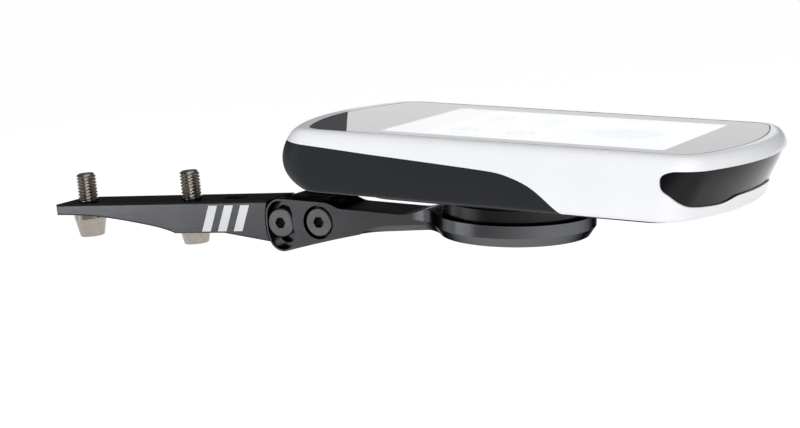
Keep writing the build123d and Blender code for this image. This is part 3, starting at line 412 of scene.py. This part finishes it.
def piece(name, points, faces, material, body, axes=tilted, smooth=False):
    """Mesh drawn along the given axes, riding on a body."""
    mesh = bpy.data.meshes.new(name)
    mesh.from_pydata([axes @ Vector(p) for p in points], [], faces)
    mesh.materials.append(material)
    if smooth:
        mesh.shade_smooth()
    made = bpy.data.objects.new(name, mesh)
    bpy.context.scene.collection.objects.link(made)
    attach(made, body)
    return made


def circle(centre, radius):
    """Points round a circle in a plane."""
    turns = [2 * pi * i / CIRCLE_SIDES for i in range(CIRCLE_SIDES)]
    return [(centre[0] + radius * cos(t), centre[1] + radius * sin(t)) for t in turns]


def box(x_low, x_high, y_low, y_high):
    return [(x_low, y_low), (x_high, y_low), (x_high, y_high), (x_low, y_high)]


def finely(loop, step):
    """The same closed loop, with points no further apart than step."""
    fine = []
    for (x0, y0), (x1, y1) in zip(loop, loop[1:] + loop[:1]):
        count = max(1, round(((x1 - x0) ** 2 + (y1 - y0) ** 2) ** 0.5 / step))
        fine += [(x0 + (x1 - x0) * i / count, y0 + (y1 - y0) * i / count) for i in range(count)]
    return fine


def lathe(rows):
    """Mesh round the Z axis from rows of (height, radius at an angle), closed at the first and last."""
    count = LATHE_SIDES
    points = []
    for height, radius in rows:
        for i in range(count):
            angle = 2 * pi * i / count
            points.append((radius(angle) * cos(angle), radius(angle) * sin(angle), height))
    faces = []
    for row in range(len(rows) - 1):
        for i in range(count):
            a, b = row * count + i, row * count + (i + 1) % count
            faces.append((a, b, b + count, a + count))
    faces.append(tuple(reversed(range(count))))
    faces.append(tuple(range((len(rows) - 1) * count, len(rows) * count)))
    return points, faces


def hexagon(flats):
    """Radius of a hexagon at an angle, from its size across flats."""
    return lambda angle: flats / 2 / cos((angle + pi / 6) % (pi / 3) - pi / 6)


def plain(radius):
    return lambda angle: radius


# ---- Stem bolts: taper heads with a hex socket, and a real thread above the bracket --------------
STEM_SPACING = frame["record"]["mounts"][0]["dims"]["spacing_x_mm"] * MM
THREAD_CREST = 2.5 * MM
THREAD_ROOT = 2.05 * MM
THREAD_PITCH = 0.8 * MM
THREAD_FROM = 0.3 * MM
THREAD_END = 0.5 * MM  # run-out under the tip
SHANK = 2.3 * MM
HEAD_TOP = 4.08 * MM
HEAD_TIP = 3.1 * MM
HEAD_TALL = 6.1 * MM
HEAD_RIM = 1.5 * MM
HEAD_EDGE = 0.18 * MM
STEM_SOCKET = 3.0 * MM
STEM_SOCKET_DEEP = 3.1 * MM
THREAD_STEPS = 8  # rows in one turn
THREAD_FLANK = 2.4  # above 2 the crests are flat
SOCKET_TIP = 0.2 * MM  # middle of the socket's floor


def thread_radius(height):
    """Radius of the thread at a height, which climbs once round as the angle turns."""

    def at(angle):
        phase = (height / THREAD_PITCH - angle / (2 * pi)) % 1.0
        return THREAD_ROOT + (THREAD_CREST - THREAD_ROOT) * min(1.0, THREAD_FLANK * min(phase, 1 - phase))

    return at


def make_stem_bolts():
    """Both taper-headed bolts as one piece, in place of the CAD ones."""
    vertices = frame["nodes"]["stem_bolts"].data.vertices
    top = max(v.co.z for v in vertices)
    points, faces = [], []
    for side in (-1, 1):
        foot = min(v.co.z for v in vertices if v.co.x * side > 0)
        seat = foot + HEAD_TALL
        rows = [
            (foot + STEM_SOCKET_DEEP, plain(SOCKET_TIP)),
            (foot + STEM_SOCKET_DEEP, hexagon(STEM_SOCKET)),
            (foot + HEAD_EDGE, hexagon(STEM_SOCKET)),
            (foot, hexagon(STEM_SOCKET + 2 * HEAD_EDGE)),
            (foot, plain(HEAD_TIP - HEAD_EDGE)),
            (foot + HEAD_EDGE, plain(HEAD_TIP)),
            (seat - HEAD_RIM - HEAD_EDGE / 2, plain(HEAD_TOP - HEAD_EDGE / 2)),
            (seat - HEAD_RIM, plain(HEAD_TOP)),
            (seat, plain(HEAD_TOP)),
            (seat, plain(SHANK)),
            (THREAD_FROM - HEAD_EDGE, plain(THREAD_ROOT)),
        ]
        count = round((top - THREAD_END - THREAD_FROM) / THREAD_PITCH * THREAD_STEPS)
        for i in range(count + 1):
            height = THREAD_FROM + i * THREAD_PITCH / THREAD_STEPS
            rows.append((height, thread_radius(height)))
        rows.append((top - THREAD_END / 3, plain(THREAD_ROOT)))
        rows.append((top, plain(THREAD_ROOT - THREAD_END / 2)))
        new_points, new_faces = lathe(rows)
        shift = len(points)
        points += [(x + side * STEM_SPACING / 2, y, z) for x, y, z in new_points]
        faces += [tuple(i + shift for i in face) for face in new_faces]
    bolts = piece("taper_bolts", points, faces, finishes["nickel_steel"], "base", level)
    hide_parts("stem_bolts")


# ---- Dark liners in the hex sockets of the hinge bolts, painted shade that darkens them past their own shading ---
HINGE_SOCKET = 2.5 * MM
HINGE_SOCKET_DEEP = 1.4 * MM
LINER = 0.04 * MM


# thin dark cups lining each hex socket: painted shade, not a part of the bolt
def make_painted_socket_shade():
    for node in ("pivot_bolt", "lock_bolt"):
        low, high = spans(node, level)
        centre = (low + high) / 2
        rows = [
            (HINGE_SOCKET_DEEP - LINER, plain(LINER)),
            (HINGE_SOCKET_DEEP - LINER, hexagon(HINGE_SOCKET - 2 * LINER)),
            (2 * LINER, hexagon(HINGE_SOCKET - 2 * LINER)),
            (2 * LINER, hexagon(HINGE_SOCKET - LINER)),
            (HINGE_SOCKET_DEEP - LINER / 2, hexagon(HINGE_SOCKET - LINER)),
            (HINGE_SOCKET_DEEP - LINER / 2, plain(LINER)),
        ]
        points, faces = lathe(rows)
        placed = [(centre.x + x, low.y + z, centre.z - y) for x, y, z in points]
        piece(node + "_socket", placed, faces, socket_painted_shade, "base", level)


# ---- Marks laid on a CAD surface -----------------------------------------------------------------


def lay_on(name, node, loops, place, toward, lift, material, body, axes=tilted):
    """Thin raised marks that follow a CAD surface.

    Loops are pairs: an outer outline, and an inner one of as many points or None. Place turns a point of an
    outline into a start in front of the surface, and toward is the way to look at it from there.
    """
    data = frame["nodes"][node].data
    tree = BVHTree.FromPolygons([v.co for v in data.vertices], [tuple(p.vertices) for p in data.polygons])
    toward = axes @ Vector(toward)
    points, faces = [], []

    def rows_of(loop):
        start = len(points)
        for u, v in loop:
            hit = tree.ray_cast(axes @ Vector(place(u, v)), toward)[0]
            points.extend((hit - toward * lift, hit + toward * lift))
        return [start + 2 * i for i in range(len(loop))]

    for outer, inner in loops:
        ring = rows_of(outer)
        count = len(ring)
        hole = rows_of(inner) if inner else None
        for i in range(count):
            a, b = ring[i], ring[(i + 1) % count]
            faces.append((a, b, b + 1, a + 1))
            if hole:
                c, d = hole[i], hole[(i + 1) % count]
                faces += [(d, c, c + 1, d + 1), (a, c, d, b), (a + 1, b + 1, d + 1, c + 1)]
        if not hole:
            faces += [tuple(reversed(ring)), tuple(i + 1 for i in ring)]
    made = piece(name, points, faces, material, body, level)
    clean = bmesh.new()
    clean.from_mesh(made.data)
    bmesh.ops.recalc_face_normals(clean, faces=clean.faces)
    clean.to_mesh(made.data)
    clean.free()
    return made


STRIPE_COUNT = 3
STRIPE_FROM = 22.5 * MM  # rear stripe's foot, along the bracket
STRIPE_WIDE = 2.5 * MM
STRIPE_STEP = 4.6 * MM
STRIPE_LEAN = 0.42  # sideways for each unit upwards
STRIPE_LOW = -7.2 * MM
STRIPE_HIGH = -0.9 * MM
PRINT_LIFT = 0.015 * MM


def make_stripes():
    """Plain slanted stripes on each flank of the bracket."""
    low, high = spans("base_bracket", level)
    for name, y, way in (("right", low.y - MM, 1), ("left", high.y + MM, -1)):
        loops = []
        for i in range(STRIPE_COUNT):
            foot = STRIPE_FROM + i * STRIPE_STEP
            lean = STRIPE_LEAN * (STRIPE_HIGH - STRIPE_LOW)
            outline = [
                (foot, STRIPE_LOW),
                (foot + STRIPE_WIDE, STRIPE_LOW),
                (foot + STRIPE_WIDE + lean, STRIPE_HIGH),
                (foot + lean, STRIPE_HIGH),
            ]
            loops.append((outline, None))

        def place(u, v, y=y):
            return (u, y, v)

        lay_on(name + "_stripes", "base_bracket", loops, place, (0, way, 0), PRINT_LIFT,
               print_grey, "base", level)


ICON_SIZE = 1.15 * MM
ICON_LINE = 0.26 * MM
ICON_LIFT = 0.03 * MM
ICON_BAR = 1.4  # top of the bar, in icon sizes above the middle


def make_icons():
    """A ring on the lap button, a solid dot on the start button, a barred ring on the power button."""
    for body, node in (("lap_button", "lap_button"), ("start_button", "start_button")):
        low, high = spans(node)
        cap_y = (low.y + high.y) / 2
        cap_z = (low.z + high.z) / 2
        outer = circle((cap_y, cap_z), ICON_SIZE)
        inner = circle((cap_y, cap_z), ICON_SIZE - ICON_LINE) if body == "lap_button" else None

        def place(u, v, x=low.x - MM):
            return (x, u, v)

        lay_on(body + "_mark", node, [(outer, inner)], place, (1, 0, 0), ICON_LIFT,
               icon_grey, body)
    low, high = spans("power_button")
    cap_x = (low.x + high.x) / 2
    cap_z = (low.z + high.z) / 2
    outer = circle((cap_x, cap_z), ICON_SIZE)
    inner = circle((cap_x, cap_z), ICON_SIZE - ICON_LINE)
    bar = box(cap_x - ICON_LINE / 2, cap_x + ICON_LINE / 2, cap_z + ICON_LINE, cap_z + ICON_SIZE * ICON_BAR)

    def place_power(u, v):
        return (u, high.y + MM, v)

    lay_on("power_button_mark", "power_button", [(outer, inner), (bar, None)], place_power, (0, -1, 0),
           ICON_LIFT, icon_grey, "power_button")


# ---- Glass surround and display ------------------------------------------------------------------
glass_low, glass_high = spans("cover_glass")
panel_low, panel_high = spans("display_panel")
screen_x = (panel_low.x + panel_high.x) / 2
GASKET_IN = 0.15 * MM  # over the glass's chamfer
GASKET_OUT = 0.11 * MM  # into the gap round the glass
GASKET_DEEP = 0.8 * MM
GASKET_CROWN = 0.035 * MM  # over the top of the glass
GASKET_SHOULDER = 0.01 * MM  # either side of the crown, over the top of the glass
GASKET_FIT = 0.01 * MM  # between the edge of the glass and the ring
GASKET_FALL = 0.05 * MM  # outer edge, under the top of the glass
GLASS_FACE = 0.02 * MM  # points this near the lower face belong to it
GLASS_STEP = 0.8 * MM  # between the outline's points
SAME_PLACE = 7  # decimals that two corners of the outline share
BEZEL_RISE = 0.012 * MM  # print over the underside of the glass
PANEL_BORDER = 1.0 * MM
SCREEN_MARGIN = 0.35 * MM
LAYER = 0.008 * MM  # between one printed layer and the next
# the screen's emission is painted light, standing in for the lamp light that the cover glass keeps from the
# display
SCREEN_PAINTED_LIGHT = 0.10
SCREEN_COLORS = {
    "screen_pale": (0.78, 0.80, 0.80),
    "screen_grey": (0.50, 0.52, 0.53),
    "screen_line": (0.36, 0.38, 0.40),
    "screen_red": (0.74, 0.20, 0.20),
    "screen_teal": (0.16, 0.50, 0.48),
    "screen_blue": (0.36, 0.58, 0.80),
}
# Layout in millimetres from the middle of the screen; boxes are X from and to, then Y from and to
HEADER_LONG = 9.5
RULES = ((-23, 31, -0.15, 0.15), (-10.4, -10.1, -19, 19), (4.6, 4.9, -19, 19))
FIELDS = ((-17.0, 3.0), (-3.5, 2.6), (-17.0, -15.9), (-3.5, -16.0))
FIELD_BARS = ((-3.2, -1.4), (-0.9, 3.0))  # X from and to, from the field's middle
FIELD_HALF = 0.5
BARS = (
    (7.2, 7.9, -4.5, 2.5),
    (15.6, 16.5, -4.2, 1.2),
    (8.8, 9.5, -4.5, 3.5),
    (17.4, 18.3, -3.2, 1.2),
    (10.4, 11.1, -4.5, 4.5),
    (19.2, 20.1, -2.2, 1.2),
)
RED_DIALS = ((-17.0, 8.4), (-3.5, -10.55))
TEAL_DIALS = ((-3.6, 8.0), (-17.0, -10.5))
DIAL_RING = 3.25
DIAL_WIDE = 0.9
DIAL_DOT = 1.3
BIG_DIAL = (17.9, -1.7, 7.7)  # middle and radius


def glass_loop():
    """Outline of the glass from its lower face, in order round its middle."""
    turned = [tilted.transposed() @ v.co for v in frame["nodes"]["cover_glass"].data.vertices]
    low = [(p.x, p.y) for p in turned if p.z < glass_low.z + GLASS_FACE]
    middle_x = (glass_low.x + glass_high.x) / 2
    corners = {(round(x, SAME_PLACE), round(y, SAME_PLACE)) for x, y in low}

    def turn(corner):
        return Vector((corner[0] - middle_x, corner[1])).angle_signed(Vector((1, 0)))

    return finely(sorted(corners, key=turn), GLASS_STEP)


def outward(loop):
    """Unit direction out of a closed counter-clockwise loop at each of its points."""
    ways = []
    for i in range(len(loop)):
        before, after = Vector(loop[i - 1]), Vector(loop[(i + 1) % len(loop)])
        along = (after - before).normalized()
        ways.append(Vector((along.y, -along.x)))
    return ways


def make_gasket(loop):
    """Dark ring pressed into the gap round the glass."""
    ways = outward(loop)
    top = glass_high.z
    section = (
        (-GASKET_IN, top + GASKET_SHOULDER),
        (-GASKET_IN / 3, top + GASKET_CROWN),
        (GASKET_OUT / 2, top + GASKET_SHOULDER),
        (GASKET_OUT, top - GASKET_FALL),
        (GASKET_OUT, top - GASKET_DEEP),
        (GASKET_FIT, top - GASKET_DEEP),
        (GASKET_FIT, top - GASKET_IN),
    )
    points = [(*(Vector(p) + way * out), z) for out, z in section for p, way in zip(loop, ways)]
    count = len(loop)
    faces = []
    for row in range(len(section)):
        for i in range(count):
            a, b = row * count + i, row * count + (i + 1) % count
            c = ((row + 1) % len(section)) * count
            faces.append((a, b, c + (i + 1) % count, c + i))
    piece("glass_gasket", points, faces, gasket_grey, "computer", smooth=True)


def flat_mesh(name, loops, z, material):
    """Flat print on the display, from outlines; a pair of loops leaves the second one open."""
    shape = bmesh.new()
    for loop in loops:
        if isinstance(loop, tuple):
            edges = []
            for part in loop:
                vertices = [shape.verts.new(tilted @ Vector((x, y, z))) for x, y in part]
                edges += [shape.edges.new(pair) for pair in zip(vertices, vertices[1:] + vertices[:1])]
            bmesh.ops.triangle_fill(shape, use_beauty=True, edges=edges, normal=up)
        else:
            shape.faces.new([shape.verts.new(tilted @ Vector((x, y, z))) for x, y in loop])
    for face in shape.faces:
        if face.normal.dot(up) < 0:
            face.normal_flip()
    mesh = bpy.data.meshes.new(name)
    shape.to_mesh(mesh)
    shape.free()
    mesh.materials.append(material)
    made = bpy.data.objects.new(name, mesh)
    bpy.context.scene.collection.objects.link(made)
    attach(made, "computer")


def screen_box(x_low, x_high, y_low, y_high):
    """Rectangle on the screen, in millimetres from its middle."""
    return box(screen_x + x_low * MM, screen_x + x_high * MM, y_low * MM, y_high * MM)


def screen_circle(x, y, radius):
    return circle((screen_x + x * MM, y * MM), radius * MM)


def screen_ring(x, y, radius, width):
    return (screen_circle(x, y, radius), screen_circle(x, y, radius - width))


def screen_dials(spots):
    """Rings at the given spots, and a dot in each."""
    rings = [screen_ring(x, y, DIAL_RING, DIAL_WIDE) for x, y in spots]
    return rings + [screen_circle(x, y, DIAL_DOT) for x, y in spots]


def screen_lines():
    """Rules, the two bars that stand for each field's words, and the bars of the charts."""
    boxes = list(RULES)
    for x, y in FIELDS:
        boxes += [(x + start, x + end, y - FIELD_HALF, y + FIELD_HALF) for start, end in FIELD_BARS]
    return [screen_box(*values) for values in (*boxes, *BARS)]


def screen_print_with_painted_light(name):
    """Display colour with a faint glow, painted light standing in for the lamp light that the cover glass keeps
    off the screen.
    """
    return moulded(name, SCREEN_COLORS[name], 0.35, 2500, 5e-7, variation=0.02, glow=SCREEN_PAINTED_LIGHT)


def make_display():
    """Screen with a faint glow of painted light, a plain layout of fields, round icons and rules, and the dark
    print round it.
    """
    loop = glass_loop()
    make_gasket(loop)
    half_x = (panel_high.x - panel_low.x) / 2 - PANEL_BORDER
    half_y = panel_high.y - PANEL_BORDER
    window = box(
        screen_x - half_x - SCREEN_MARGIN,
        screen_x + half_x + SCREEN_MARGIN,
        -half_y - SCREEN_MARGIN,
        half_y + SCREEN_MARGIN,
    )
    flat_mesh("bezel_print", [(loop, window)], glass_low.z + BEZEL_RISE, bezel_black)
    ground = box(screen_x - half_x, screen_x + half_x, -half_y, half_y)
    head = box(screen_x - half_x, screen_x - half_x + HEADER_LONG * MM, -half_y, half_y)
    prints = (
        ("screen_ground", [ground], 1, "screen_pale"),
        ("screen_header", [head], 2, "screen_grey"),
        ("screen_rules", screen_lines(), 4, "screen_line"),
        ("screen_red", screen_dials(RED_DIALS), 3, "screen_red"),
        ("screen_teal", screen_dials(TEAL_DIALS), 3, "screen_teal"),
        ("screen_dial", [screen_circle(*BIG_DIAL)], 3, "screen_blue"),
    )
    for name, loops, layer, color in prints:
        flat_mesh(name, loops, panel_high.z + layer * LAYER, screen_print_with_painted_light(color))


make_camera()
make_stage()
dress_nodes()
make_stem_bolts()
make_painted_socket_shade()
make_stripes()
make_icons()
make_display()
